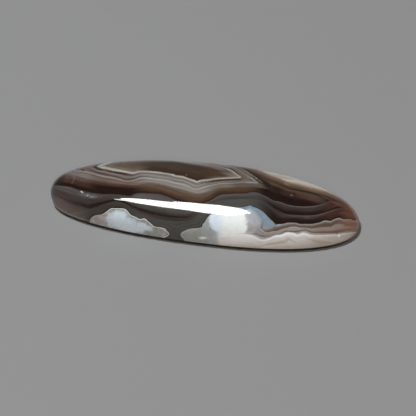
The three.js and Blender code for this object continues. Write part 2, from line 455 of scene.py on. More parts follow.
def signed_power(tree, value, power):
    """Nodes for a power of a number's size that keeps its sign."""
    size = add_node(tree, MATH, {0: value}, operation="ABSOLUTE")
    raised = add_node(tree, MATH, {0: size, 1: power}, operation="POWER")
    sign = add_node(tree, MATH, {0: value}, operation="SIGN")
    return add_node(tree, MATH, {0: raised, 1: sign}, operation="MULTIPLY")


def row_share(tree, row, start, count):
    """Nodes for how far a row of the grid is through one stretch of the profile, from 0 to 1."""
    past = add_node(tree, MATH, {0: row, 1: start}, operation="SUBTRACT")
    return add_node(tree, MATH, {0: past, 1: count}, operation="DIVIDE", use_clamp=True)


def cabochon_tree(form):
    """The Geometry Nodes that bend a grid into the stone: its columns go round the girdle, and
    its rows run from the middle of the flat back, over the bevel and the dome, to the crest."""
    tree = bpy.data.node_groups.new("Cabochon form", "GeometryNodeTree")
    tree.is_modifier = True
    sizes = {
        "Length": form.length, "Width": form.width, "Height": form.height,
        "Edge Height": form.edge_height, "Edge Bevel": form.edge_bevel, "Crest Shift": form.crest_shift,
        "Outline Fullness": form.outline_power, "Lengthwise Fullness": form.lengthwise_power,
        "Crosswise Fullness": form.crosswise_power, "Dome Fullness": form.dome_power, "Egg": form.egg,
    }
    counts = {
        "Sides": form.sides, "Dome Rings": form.dome_rings,
        "Back Rings": form.back_rings, "Bevel Rings": form.bevel_rings,
    }
    for name in sizes:
        tree.interface.new_socket(name=name, in_out="INPUT", socket_type="NodeSocketFloat")
    for name in counts:
        tree.interface.new_socket(name=name, in_out="INPUT", socket_type="NodeSocketInt")
    tree.interface.new_socket(name="Finish", in_out="INPUT", socket_type="NodeSocketMaterial")
    tree.interface.new_socket(name="Geometry", in_out="OUTPUT", socket_type="NodeSocketGeometry")
    given = add_node(tree, "NodeGroupInput").outputs

    columns = add_node(tree, MATH, {0: given["Sides"], 1: 1.0}, operation="ADD")
    edge_rows = add_node(tree, MATH, {0: given["Back Rings"], 1: given["Bevel Rings"]}, operation="ADD")
    rows = add_node(tree, MATH, {0: edge_rows, 1: given["Dome Rings"]}, operation="ADD")
    row_lines = add_node(tree, MATH, {0: rows, 1: 1.0}, operation="ADD")
    grid = add_node(tree, "GeometryNodeMeshGrid", {
        "Size X": 1.0, "Size Y": 1.0, "Vertices X": columns, "Vertices Y": row_lines})

    place = add_node(tree, "ShaderNodeSeparateXYZ", {0: add_node(tree, "GeometryNodeInputPosition")})
    around = add_node(tree, MATH, {0: place.outputs["X"], 1: 0.5}, operation="ADD")
    angle = add_node(tree, MATH, {0: around, 1: 2 * math.pi}, operation="MULTIPLY")
    up = add_node(tree, MATH, {0: place.outputs["Y"], 1: 0.5}, operation="ADD")
    row = add_node(tree, MATH, {0: up, 1: rows}, operation="MULTIPLY")

    # Columns stand closer on the long sides, where the outline runs fastest
    double = add_node(tree, MATH, {0: angle, 1: 2.0}, operation="MULTIPLY")
    wave = add_node(tree, MATH, {0: double}, operation="SINE")
    crowded = add_node(tree, MATH, {0: wave, 1: COLUMN_CROWDING, 2: angle}, operation="MULTIPLY_ADD")

    back = row_share(tree, row, 0.0, given["Back Rings"])
    bevel = row_share(tree, row, given["Back Rings"], given["Bevel Rings"])
    dome = row_share(tree, row, edge_rows, given["Dome Rings"])
    turn = add_node(tree, MATH, {0: dome, 1: QUARTER_TURN}, operation="MULTIPLY")
    closing = add_node(tree, MATH, {0: turn}, operation="COSINE")
    rising = add_node(tree, MATH, {0: turn}, operation="SINE")
    radius = add_node(tree, MATH, {0: back, 1: closing}, operation="MULTIPLY")

    outline = add_node(tree, MATH, {0: 2.0, 1: given["Outline Fullness"]}, operation="DIVIDE")
    along = signed_power(tree, add_node(tree, MATH, {0: crowded}, operation="COSINE"), outline)
    plain_across = signed_power(tree, add_node(tree, MATH, {0: crowded}, operation="SINE"), outline)
    fuller = add_node(tree, MATH, {0: along, 1: given["Egg"], 2: 1.0}, operation="MULTIPLY_ADD")
    across = add_node(tree, MATH, {0: plain_across, 1: fuller}, operation="MULTIPLY")

    above_bevel = add_node(tree, MATH, {0: 1.0, 1: bevel}, operation="SUBTRACT")
    inset = add_node(tree, MATH, {0: given["Edge Bevel"], 1: above_bevel}, operation="MULTIPLY")
    reaches = []
    for size, fullness, direction in (("Length", "Lengthwise Fullness", along),
                                      ("Width", "Crosswise Fullness", across)):
        half = add_node(tree, MATH, {0: given[size], 1: 0.5}, operation="MULTIPLY")
        drawn_in = add_node(tree, MATH, {0: half, 1: inset}, operation="SUBTRACT")
        power = add_node(tree, MATH, {0: 2.0, 1: given[fullness]}, operation="DIVIDE")
        share = add_node(tree, MATH, {0: radius, 1: power}, operation="POWER")
        reach = add_node(tree, MATH, {0: drawn_in, 1: share}, operation="MULTIPLY")
        reaches.append(add_node(tree, MATH, {0: reach, 1: direction}, operation="MULTIPLY"))
    lean = add_node(tree, MATH, {0: given["Crest Shift"], 1: rising}, operation="MULTIPLY")
    x = add_node(tree, MATH, {0: reaches[0], 1: lean}, operation="SUBTRACT")

    dome_power = add_node(tree, MATH, {0: 2.0, 1: given["Dome Fullness"]}, operation="DIVIDE")
    lift = add_node(tree, MATH, {0: rising, 1: dome_power}, operation="POWER")
    dome_rise = add_node(tree, MATH, {0: given["Height"], 1: given["Edge Height"]}, operation="SUBTRACT")
    on_dome = add_node(tree, MATH, {0: dome_rise, 1: lift}, operation="MULTIPLY")
    z = add_node(tree, MATH, {0: given["Edge Height"], 1: bevel, 2: on_dome}, operation="MULTIPLY_ADD")

    position = add_node(tree, "ShaderNodeCombineXYZ", {"X": x, "Y": reaches[1], "Z": z})
    bent = add_node(tree, "GeometryNodeSetPosition", {"Geometry": grid, "Position": position})
    closed = add_node(tree, "GeometryNodeMergeByDistance", {"Geometry": bent, "Distance": SEAM_GAP})

    # The stone is moved so that its box is centred over the origin, as the solid's is
    box = add_node(tree, "GeometryNodeBoundBox", {"Geometry": closed})
    corners = add_node(tree, "ShaderNodeVectorMath", {
        0: box.outputs["Min"], 1: box.outputs["Max"]}, operation="ADD")
    to_middle = add_node(tree, "ShaderNodeVectorMath", {
        0: corners, 1: (-0.5, -0.5, 0.0)}, operation="MULTIPLY")
    centred = add_node(tree, "GeometryNodeSetPosition", {"Geometry": closed, "Offset": to_middle})
    fold = add_node(tree, "GeometryNodeInputMeshEdgeAngle").outputs["Unsigned Angle"]
    corner = add_node(tree, MATH, {0: fold, 1: SHARP_FOLD}, operation="GREATER_THAN")
    smooth = add_node(tree, "GeometryNodeSetShadeSmooth", {"Geometry": centred, "Shade Smooth": True})
    creased = add_node(tree, "GeometryNodeSetShadeSmooth", {
        "Geometry": smooth, "Selection": corner, "Shade Smooth": False}, domain="EDGE")
    whole = add_node(tree, "GeometryNodeRealizeInstances", {"Geometry": creased})
    finished = add_node(tree, "GeometryNodeSetMaterial", {"Geometry": whole, "Material": given["Finish"]})
    add_node(tree, "NodeGroupOutput", {"Geometry": finished})
    return tree, {**sizes, **counts}


def made_mesh(name, tree, values):
    """A plain mesh object from a Geometry Nodes tree, with the modifier's inputs set by identifier."""
    piece = bpy.data.objects.new(name, bpy.data.meshes.new(name))
    bpy.context.scene.collection.objects.link(piece)
    modifier = piece.modifiers.new("Form", "NODES")
    modifier.node_group = tree
    for socket in tree.interface.items_tree:
        if socket.in_out == "INPUT":
            modifier[socket.identifier] = values[socket.name]
    evaluated = piece.evaluated_get(bpy.context.evaluated_depsgraph_get())
    mesh = bpy.data.meshes.new_from_object(evaluated)
    piece.modifiers.remove(modifier)
    piece.data = mesh
    mesh.name = name
    return piece


def drawn_curve(points, closed):
    """A smooth curve through points of the drawing, as many short straight steps."""
    p = np.array(points, float)
    if closed:
        p = np.vstack([p[-1], p, p[0], p[1]])
    else:
        p = np.vstack([2 * p[0] - p[1], p, 2 * p[-1] - p[-2]])
    before, start, end, after = p[:-3], p[1:-2], p[2:-1], p[3:]
    t = (np.arange(CURVE_STEPS) / CURVE_STEPS)[:, None, None]
    steps = 0.5 * (
        2 * start + (end - before) * t + (2 * before - 5 * start + 4 * end - after) * t ** 2
        + (3 * start - before - 3 * end + after) * t ** 3)
    curve = steps.transpose(1, 0, 2).reshape(-1, 2)
    if not closed:
        curve = np.vstack([curve, p[-2]])
    return curve * DRAWING_SCALE + np.array(DRAWING_SHIFT)


def depth_inside(s, h, points):
    """How far each place of the drawing lies inside a closed curve, and less than 0 outside it."""
    curve = drawn_curve(points, closed=True)
    nearest = np.full(s.shape, np.inf)
    inside = np.zeros(s.shape, bool)
    for (s0, h0), (s1, h1) in zip(curve, np.roll(curve, -1, axis=0)):
        run, rise = s1 - s0, h1 - h0
        share = np.clip(((s - s0) * run + (h - h0) * rise) / (run * run + rise * rise), 0, 1)
        nearest = np.minimum(nearest, (s - s0 - share * run) ** 2 + (h - h0 - share * rise) ** 2)
        if h0 != h1:
            inside ^= ((h0 > h) != (h1 > h)) & (s < run * (h - h0) / rise + s0)
    return np.where(inside, 1, -1) * np.sqrt(nearest)


def height_of(s, points):
    """The height of an open curve of the drawing over each place."""
    curve = drawn_curve(points, closed=False)
    order = np.argsort(curve[:, 0])
    return np.interp(s, curve[order, 0], curve[order, 1])


def oval_cover(s, h, ovals):
    """How far each place lies inside soft ovals: 1 at the middle and 0 at twice their size."""
    covered = np.zeros(s.shape)
    for (middle_s, middle_h), (half_long, half_wide), turn in ovals:
        along = math.cos(math.radians(turn)), math.sin(math.radians(turn))
        u = ((s - middle_s) * along[0] + (h - middle_h) * along[1]) / half_long
        v = ((h - middle_h) * along[0] - (s - middle_s) * along[1]) / half_wide
        covered = np.maximum(covered, 1 - np.hypot(u, v) / 2)
    return covered


def streak_cover(s, h, streaks):
    """How far each place lies on soft streaks that taper to both ends: 1 along their middles."""
    covered = np.zeros(s.shape)
    for points, half_width in streaks:
        curve = drawn_curve(points, closed=False)
        steps = len(curve) - 1
        for step, ((s0, h0), (s1, h1)) in enumerate(zip(curve, curve[1:])):
            run, rise = s1 - s0, h1 - h0
            share = np.clip(((s - s0) * run + (h - h0) * rise) / (run * run + rise * rise), 0, 1)
            away = np.hypot(s - s0 - share * run, h - h0 - share * rise)
            width = half_width * np.sin(math.pi * (step + share) / steps) + STREAK_TIP
            covered = np.maximum(covered, 1 - away / (2 * width))
    return covered


def between(above, below):
    """How far a place has come from one line to the next, from its distances to both."""
    above, below = np.maximum(above, 0), np.maximum(below, 0)
    return above / (above + below + 1e-6)


def in_the_drawing(points):
    """Where points of the stone, in millimetres, lie in the drawing: to the right, and up."""
    right = math.cos(VIEW_TURN) * points[:, 0] + math.sin(VIEW_TURN) * points[:, 1]
    away = math.cos(VIEW_TURN) * points[:, 1] - math.sin(VIEW_TURN) * points[:, 0]
    up = points[:, 2] * math.cos(VIEW_ELEVATION) + away * math.sin(VIEW_ELEVATION)
    depth = away * math.cos(VIEW_ELEVATION) - points[:, 2] * math.sin(VIEW_ELEVATION)
    nearness = 1 / (1 + depth / VIEW_DISTANCE)
    return right * nearness, up * nearness


def viewpoint():
    """The camera's place, in millimetres."""
    level = VIEW_DISTANCE * math.cos(VIEW_ELEVATION)
    return np.array([
        math.sin(VIEW_TURN) * level, -math.cos(VIEW_TURN) * level, VIEW_DISTANCE * math.sin(VIEW_ELEVATION)])


def unrolled(points, normals, edge_height):
    """Each point's place in the drawing, with the side that is turned away laid out above the
    stone's upper outline."""
    s, h = in_the_drawing(points)
    on_bevel = points[:, 2] < edge_height * BEVEL_TOP
    outward = normals.copy()
    outward[:, 2] = np.where(on_bevel, 0, np.maximum(outward[:, 2], 0))
    far = np.einsum("ij,ij->i", outward, viewpoint() - points) < 0

    dome = ~on_bevel
    bins = np.linspace(s.min(), s.max(), OUTLINE_STEPS)
    slot = np.clip(np.digitize(s, bins), 0, len(bins) - 1)
    crest = np.full(len(bins), -np.inf)
    np.maximum.at(crest, slot[dome], h[dome])
    known = np.isfinite(crest)
    outline = np.interp(s, bins[known], crest[known])
    return s, np.where(far, outline + FAR_SIDE_PACE * np.maximum(outline - h, 0), h)


# The numbers that the mesh carries for the material, besides its marks
BAND_NUMBERS = (
    "layer", "lower", "brown_depth", "above", "tip", "left_lobe", "right_lobe", "corner", "stack",
    "heart", "cheek", "core", "crystals", "edge",
)


def band_fields(s, h):
    """The numbers that the agate's material turns into colour, for each place of the drawing."""
    eye = depth_inside(s, h, EYE_RIM)
    second = depth_inside(s, h, SECOND_RIM)
    third = depth_inside(s, h, THIRD_RIM)
    brown = depth_inside(s, h, BROWN_RIM)
    left_lobe = depth_inside(s, h, LEFT_LOBE)
    right_lobe = depth_inside(s, h, RIGHT_LOBE)
    corner = depth_inside(s, h, LAYERED_CORNER)
    over_crease = h - height_of(s, CREASE)

    layer = np.select(
        [eye > 0, second > 0, third > 0, brown > 0],
        [-eye, between(-eye, second), 1 + between(-second, third), 2 + between(-third, brown)], 3.0)
    pale_parts = np.maximum(np.maximum(left_lobe, right_lobe), corner)
    lower = np.where(
        over_crease > 0, between(-brown, over_crease), 1 + between(-over_crease, -pale_parts))

    above = h - height_of(s, UPPER_LINE)
    over_floor = h - height_of(s, BROWN_FLOOR)
    lines = [
        height_of(s, curve) for curve in (BROWN_LAYER, PINK_LAYER, DARK_LAYER, WHITE_LAYER, BASE_LAYER)]
    stack = np.zeros(s.shape)
    for number, (top, bottom) in enumerate(zip(lines, lines[1:])):
        here = (h <= top) & (h > bottom)
        stack = np.where(here, number + (top - h) / (top - bottom), stack)
    stack = np.where(h <= lines[-1], len(lines) - 1.0, stack)
    marks = {
        name: np.maximum(oval_cover(s, h, ovals), streak_cover(s, h, streaks))
        for name, (_, _, ovals, streaks) in MARKS.items()}
    return {
        "layer": layer, "lower": lower, "brown_depth": brown, "above": above,
        "tip": between(-above, over_floor), "left_lobe": left_lobe, "right_lobe": right_lobe,
        "corner": corner, "stack": stack,
        "heart": depth_inside(s, h, LOBE_HEART), "cheek": depth_inside(s, h, LOBE_CHEEK),
        "core": oval_cover(s, h, CORE_OVALS), "crystals": oval_cover(s, h, CRYSTAL_OVALS), **marks,
    }


def carry_bands(mesh, edge_height):
    """Gives the mesh its band attributes."""
    count = len(mesh.vertices)
    points, normals = np.zeros(count * 3), np.zeros(count * 3)
    mesh.vertices.foreach_get("co", points)
    mesh.vertices.foreach_get("normal", normals)
    points, normals = points.reshape(-1, 3) / MM, normals.reshape(-1, 3)
    s, h = unrolled(points, normals, edge_height / MM)
    edge = np.clip(points[:, 2] * MM / edge_height, 0, 2)
    for name, values in {**band_fields(s, h), "edge": edge}.items():
        mesh.attributes.new(name, "FLOAT", "POINT").data.foreach_set("value", values.astype(np.float32))
    drawing = np.stack([s, h, np.zeros(count)], axis=1).astype(np.float32)
    mesh.attributes.new("drawing", "FLOAT_VECTOR", "POINT").data.foreach_set("vector", drawing.ravel())


MIX = "ShaderNodeMix"
MAP = "ShaderNodeMapRange"
POLISHED_ROUGHNESS = 0.035
GROUND_ROUGHNESS = 0.4
CHALCEDONY_IOR = 1.54

# How many bends, clouds, sugary grains and crystal flecks there are to a millimetre of the stone
WAVER_PACE = 2.2
CLOUD_PACE = 1.1
GRAIN_PACE = 3.6
FLECK_PACE = 4.5


def cover(tree, *rises, most=1.0):
    """Where a colour covers the ones under it, from 0 to the most that it covers. Each rise is a
    value and the two numbers between which the cover grows smoothly, and rises multiply."""
    for value, low, high in rises:
        ends = {"Value": value, "From Min": low, "From Max": high, "To Max": most}
        most = add_node(tree, MAP, ends, interpolation_type="SMOOTHSTEP")
    return most


def painted(tree, ground, *layers):
    """Colours laid one over another from the ground up: each layer is a colour and its cover."""
    for shade, share in layers:
        ground = add_node(tree, MIX, {"Factor": share, "A": ground, "B": shade}, data_type="RGBA")
    return ground


def band_colours(tree, number, colours, stops):
    """The colour of a band number: stops are pairs of a band number and a colour's name."""
    low, high = stops[0][0], stops[-1][0]
    share = add_node(tree, MAP, {"Value": number, "From Min": low, "From Max": high})
    ramp = [((place - low) / (high - low), colours[name]) for place, name in stops]
    return add_node(tree, "ShaderNodeValToRGB", {0: share}, stops=ramp)


def changing_bands(tree, number, colours, along, first, others):
    """The colours of a band number where one list of stops takes over from another along the stone."""
    bands = band_colours(tree, number, colours, first)
    for stops, start, end in others:
        bands = painted(tree, bands, (
            band_colours(tree, number, colours, stops), cover(tree, (along, start, end))))
    return bands


# The colours across the bands. Inside the eye a band number is millimetres, less than 0. From
# there it counts the lines outwards: 0 is the eye's rim, 1 the second, 2 the third and 3 the
# lower edge of the brown band
BANDS_CENTRE = (
    (-2.4, "eye_brown"), (-1.3, "eye_brown"), (-0.5, "eye_lip"), (-0.14, "eye_lip"),
    (-0.02, "rim_white"), (0.1, "rim_white"), (0.2, "band_mid"), (0.3, "tan"), (0.4, "band_mid"),
    (0.52, "band_light"), (0.7, "band_mid"), (0.82, "band_mid"), (0.91, "band_light"),
    (0.99, "rim_white"), (1.08, "band_light"), (1.2, "band_light"), (1.35, "band_mid"),
    (1.5, "band_light"), (1.64, "band_light"), (1.8, "band_mid"), (1.96, "tan"), (2.14, "umber"),
    (2.35, "umber"), (2.58, "bark"), (2.8, "deep_brown"), (3, "line_dark"),
)
BANDS_LEFT = (
    (-1.6, "umber"), (-1.1, "umber"), (-0.5, "tan"), (-0.3, "tan"), (-0.07, "rim_white"),
    (0.03, "rim_white"), (0.16, "band_mid"), (0.28, "wine_brown"), (0.38, "band_shadow"),
    (0.5, "band_mid"), (0.6, "band_mid"), (0.78, "wine_brown"), (0.9, "mauve"), (1.0, "band_mid"),
    (1.12, "band_light"), (1.25, "mauve"), (1.36, "band_shadow"), (1.5, "mauve"), (1.85, "mauve"),
    (2.02, "umber"), (2.2, "wine_brown"), (2.36, "night_brown"), (3, "night_brown"),
)
BANDS_LEFT_END = (
    (-1.6, "mauve"), (0.16, "mauve"), (0.26, "wine_brown"), (0.44, "wine_brown"), (0.6, "mauve"),
    (0.7, "band_mid"), (0.8, "mauve"), (0.92, "mauve"), (1.05, "band_light"), (1.14, "band_mid"),
    (1.3, "mauve"), (1.42, "band_mid"), (1.85, "band_mid"), (2.05, "mauve"), (2.25, "tip_brown"),
    (2.42, "wine_brown"), (2.6, "deep_brown"), (2.8, "night_brown"), (3, "night_brown"),
)
BANDS_RIGHT = (
    (-1.6, "eye_brown"), (-0.9, "eye_brown"), (-0.4, "bark"), (-0.16, "umber"), (-0.04, "band_light"),
    (0.06, "rim_white"), (0.12, "rim_white"), (0.2, "tan"), (0.3, "band_shadow"), (0.42, "band_shadow"),
    (0.56, "tan"), (0.72, "band_mid"), (0.88, "tan"), (1.0, "band_light"), (1.14, "band_light"),
    (1.26, "band_mid"), (1.38, "tan"), (1.5, "band_mid"), (1.66, "tan"), (1.8, "band_mid"),
    (1.98, "band_mid"), (2.14, "tan"), (2.3, "umber"), (2.5, "bark"), (2.65, "eye_brown"),
    (2.85, "deep_brown"), (3, "line_dark"),
)
BANDS_FAR_RIGHT = (
    (-1.6, "umber"), (-0.8, "umber"), (-0.4, "tan"), (-0.2, "band_light"), (-0.03, "rim_white"),
    (0.05, "rim_white"), (0.13, "tan"), (0.22, "tan"), (0.3, "band_shadow"), (0.42, "band_shadow"),
    (0.54, "tan"), (0.8, "tan"), (0.95, "band_mid"), (1.12, "band_mid"), (1.28, "tan"),
    (1.4, "band_shadow"), (1.8, "band_shadow"), (2.05, "umber"), (2.3, "bark"), (2.6, "eye_brown"),
    (2.85, "deep_brown"), (3, "line_dark"),
)
# The lists take over from one another along the stone, each between two places in millimetres
BANDS_ALONG = (
    (BANDS_LEFT, -8.5, -12.5), (BANDS_LEFT_END, -17.5, -20.5), (BANDS_RIGHT, -0.5, 2.0),
    (BANDS_FAR_RIGHT, 3.5, 6.0),
)
# From the line over the brown tip, 0, to the floor of it, 1
BROWN_TIP = (
    (0, "bark"), (0.06, "deep_brown"), (0.16, "umber"), (0.28, "wine_brown"), (0.45, "deep_brown"),
    (0.62, "night_brown"), (1, "night_brown"),
)
# From the brown band, 0, past the crease, 1, to the lobes and the lower right corner, 2
LOWER_LEFT_END = (
    (0, "plum_grey"), (0.08, "chalcedony"), (0.16, "chalcedony"), (0.26, "plum_grey"),
    (0.36, "chalcedony"), (0.48, "plum_grey"), (0.7, "slate"), (0.95, "plum_grey"), (1.03, "plum_grey"),
    (1.22, "mauve"), (1.5, "layer_grey"), (2.0, "layer_grey"),
)
LOWER_LEFT = (
    (0, "slate"), (0.07, "slate"), (0.16, "moss_grey"), (0.3, "slate"), (0.68, "slate"),
    (0.8, "line_dark"), (1.02, "line_dark"), (1.16, "slate"), (1.7, "slate"), (2.0, "line_dark"),
)
LOWER_CENTRE = (
    (0, "slate"), (0.08, "chalcedony"), (0.5, "chalcedony"), (0.64, "moss_grey"), (0.76, "slate"),
    (0.88, "line_dark"), (0.98, "slate"), (1.12, "slate"), (1.22, "moss_grey"), (2.0, "moss_grey"),
)
LOWER_RIGHT = (
    (0, "band_shadow"), (0.06, "chalcedony"), (0.26, "chalcedony"), (0.34, "moss_grey"),
    (0.44, "chalcedony"), (0.6, "moss_grey"), (0.8, "slate"), (0.9, "moss_grey"), (1.05, "slate"),
    (1.2, "moss_grey"), (1.9, "moss_grey"), (2.0, "line_dark"),
)
LOWER_FAR_RIGHT = (
    (0, "band_shadow"), (0.05, "band_shadow"), (0.13, "char_grey"), (0.3, "char_grey"),
    (0.6, "line_dark"), (0.85, "night_brown"), (1.02, "char_grey"), (1.2, "char_grey"),
    (1.5, "line_dark"), (1.95, "night_brown"), (2.0, "line_dark"),
)
LOWER_RIGHT_END = (
    (0, "wine_brown"), (0.2, "wine_brown"), (0.32, "deep_brown"), (0.48, "wine_brown"),
    (0.7, "wine_brown"), (0.84, "night_brown"), (1.0, "wine_brown"), (1.15, "wine_brown"),
    (1.35, "deep_brown"), (1.55, "wine_brown"), (1.75, "deep_brown"), (1.95, "night_brown"),
    (2.0, "line_dark"),
)
LOWER_ALONG = (
    (LOWER_LEFT, -10.5, -14.0), (LOWER_LEFT_END, -18.5, -23.5), (LOWER_RIGHT, -3.0, -0.5),
    (LOWER_FAR_RIGHT, 8.0, 12.0), (LOWER_RIGHT_END, 18.5, 22.0),
)
# Millimetres outwards from the line over the brown tip. The last of them lie on the far side
UPPER_EDGE = (
    (0, "deep_brown"), (0.12, "tip_brown"), (0.22, "umber"), (0.42, "clay"), (0.56, "clay"),
    (0.85, "sand"), (1.1, "cream"), (1.8, "cream"), (1.95, "band_mid"), (2.1, "umber"),
    (2.3, "deep_brown"), (2.5, "tan"), (2.7, "band_light"), (3.0, "band_shadow"), (3.5, "deep_brown"),
    (4.0, "band_mid"), (4.3, "slate"), (5.2, "chalcedony"), (7, "slate"),
)
# From the top of the lower right corner, 0, to the base, 4
CORNER_STACK = (
    (0, "lilac"), (0.05, "pink_grey"), (0.14, "layer_grey"), (0.26, "layer_grey"), (0.42, "earth"),
    (0.54, "earth"), (0.68, "band_shadow"), (0.84, "band_shadow"), (0.95, "earth"), (1.06, "pink_grey"),
    (1.2, "pink_grey"), (1.45, "layer_grey"), (1.58, "pink_grey"), (1.76, "layer_grey"), (1.9, "earth"),
    (1.95, "band_shadow"), (2.05, "band_shadow"), (2.1, "earth"), (2.16, "layer_grey"),
    (2.28, "layer_grey"), (2.44, "pink_grey"), (2.7, "lilac"), (2.88, "bone"), (2.97, "snow"),
    (3.08, "snow"), (3.2, "bone"), (3.6, "bone"), (3.85, "warm_bone"), (4.0, "warm_bone"),
)
CORNER_STACK_END = (
    (0, "pink_grey"), (0.16, "layer_grey"), (0.32, "mauve"), (0.5, "umber"), (0.88, "umber"),
    (1.03, "layer_grey"), (1.2, "layer_grey"), (1.55, "rose"), (1.75, "mauve"), (1.92, "mauve"),
    (2.0, "band_shadow"), (2.14, "pink_grey"), (2.32, "pink_grey"), (2.55, "layer_grey"),
    (2.86, "layer_grey"), (2.93, "lilac"), (2.98, "bone"), (3.07, "bone"), (3.2, "warm_bone"),
    (3.6, "warm_bone"), (3.8, "cream"), (4.0, "cream"),
)
CORNER_ALONG = ((CORNER_STACK_END, 15.5, 20.5),)
# Millimetres inwards from the edges of the white lobes
LOBE_EDGE = (
    (-0.08, "line_dark"), (0.0, "milk_white"), (0.05, "milk_white"), (0.14, "layer_grey"),
    (0.22, "layer_grey"), (0.3, "milk_grey"), (0.4, "milk_grey"), (0.48, "layer_grey"),
    (0.58, "milk_grey"), (1.4, "milk_grey"),
)
GREEN_LOBE_EDGE = (
    (-0.08, "line_dark"), (0.02, "milk_grey"), (0.12, "lilac"), (0.2, "milk_green"),
    (1.4, "milk_green"),
)
BLUE_LOBE_EDGE = (
    (-0.08, "line_dark"), (0.03, "slate_blue"), (0.13, "steel_blue"), (1.4, "steel_blue"),
)


def cloudy(tree, place, pace, detail):
    """Cloudy variation round 0, from about -0.5 to 0.5."""
    cloud = add_node(tree, "ShaderNodeTexNoise", {"Vector": place, "Scale": pace, "Detail": detail})
    return add_node(tree, MATH, {0: cloud.outputs["Fac"], 1: 0.5}, operation="SUBTRACT")


def bent_by(tree, number, bend, reach):
    """A band number with a little of a cloudy variation added, so that its bands waver."""
    return add_node(tree, MATH, {0: bend, 1: reach, 2: number}, operation="MULTIPLY_ADD")


def hairlines(tree, number, along, count):
    """Growth lines as fine as hairs, which run with a band number: a variation round 0."""
    across = add_node(tree, MATH, {0: number, 1: count}, operation="MULTIPLY")
    drift = add_node(tree, MATH, {0: along, 1: 0.25}, operation="MULTIPLY")
    place = add_node(tree, "ShaderNodeCombineXYZ", {"X": across, "Y": drift})
    return cloudy(tree, place, 1.0, 2.0)


def shaded(tree, shade, variation, strength):
    """A colour made lighter and darker by a variation round 0."""
    factor = add_node(tree, MATH, {0: variation, 1: strength, 2: 1.0}, operation="MULTIPLY_ADD")
    return add_node(tree, MIX, {
        "Factor": 1.0, "A": shade, "B": factor}, data_type="RGBA", blend_type="MULTIPLY")


def banded_ground(tree, colours, fields):
    """The brown and grey bands that fill the stone behind the white lobes."""
    along = fields["along"]
    layer, lower, above, brown_depth = (
        bent_by(tree, fields[name], fields["waver"], reach)
        for name, reach in (("layer", 0.12), ("lower", 0.1), ("above", 0.1), ("brown_depth", 0.06)))

    bands = changing_bands(tree, layer, colours, along, BANDS_CENTRE, BANDS_ALONG)
    at_tip = cover(tree, (layer, 2.0, 2.06), (along, 7.5, 10.5))
    bands = painted(tree, bands, (band_colours(tree, fields["tip"], colours, BROWN_TIP), at_tip))
    bands = shaded(tree, bands, hairlines(tree, layer, along, 5.0), 1.1)

    under = changing_bands(tree, lower, colours, along, LOWER_CENTRE, LOWER_ALONG)
    under = shaded(tree, under, hairlines(tree, lower, along, 7.0), 0.9)

    lean = cover(tree, (along, 14.0, 23.0))
    outwards = add_node(tree, MATH, {0: lean, 1: -0.2, 2: above}, operation="MULTIPLY_ADD")
    upper = band_colours(tree, outwards, colours, UPPER_EDGE)
    upper = shaded(tree, upper, hairlines(tree, above, along, 5.0), 0.5)
    upper = painted(tree, upper, (colours["umber"], cover(tree, (along, 9.4, 7.4))))
    return painted(tree, under, (upper, cover(tree, (above, -0.1, 0.1))),
                   (bands, cover(tree, (brown_depth, -0.05, 0.05))))


def left_lobe_milk(tree, colours, fields):
    """The left white lobe: a sugary bluish core in greyer milk, which thins out to the right."""
    depth, along, cloud = fields["left_lobe"], fields["along"], fields["cloud"]
    milk = band_colours(tree, depth, colours, LOBE_EDGE)
    tail = shaded(tree, milk, cloud, 1.2)
    tail = painted(tree, tail, (colours["milk_green"], cover(tree, (depth, 0.2, 0.9))))
    milk = painted(tree, milk, (tail, cover(tree, (along, -11.0, -8.5))),
                   (colours["pink_grey"], cover(tree, (along, -15.5, -17.5), most=0.8)))
    in_core = cover(tree, (bent_by(tree, fields["core"], cloud, 0.8), 0.0, 0.58))
    milk = painted(tree, shaded(tree, milk, cloud, 0.7), (colours["milk_blue"], in_core))
    return shaded(tree, milk, fields["grains"], 0.4)


def right_lobe_milk(tree, colours, fields):
    """The right white lobe: a bright heart, a lilac cheek, and thin greenish and bluish flanks."""
    depth, along, cloud, grains = (fields[name] for name in ("right_lobe", "along", "cloud", "grains"))
    blue = band_colours(tree, depth, colours, BLUE_LOBE_EDGE)
    paler = painted(tree, blue, (colours["milk_blue"], cover(tree, (along, 9.2, 6.8), most=0.6)))
    blue = painted(tree, blue, (paler, cover(tree, (depth, 0.4, 0.8))))
    milk = painted(tree, band_colours(tree, depth, colours, GREEN_LOBE_EDGE),
                   (colours["milk_grey"], cover(tree, (along, -1.0, 1.0))),
                   (blue, cover(tree, (along, 5.0, 7.0))))
    milk = shaded(tree, shaded(tree, milk, cloud, 0.45), grains, 0.3)

    cheek = painted(tree, colours["pink_grey"], (colours["lilac"], cover(tree, (fields["up"], -3.0, -0.6))))
    cheek = shaded(tree, cheek, cloud, 0.5)
    in_cheek = cover(tree, (bent_by(tree, fields["cheek"], cloud, 0.7), -0.25, 0.9))
    heart = painted(tree, colours["milk_blue"], (colours["milk_white"], cover(tree, (along, 2.0, 3.8))))
    heart = shaded(tree, shaded(tree, heart, grains, 0.12), cloud, 0.2)
    in_heart = cover(tree, (bent_by(tree, fields["heart"], cloud, 0.9), -0.35, 0.4))
    return painted(tree, milk, (cheek, in_cheek), (heart, in_heart))


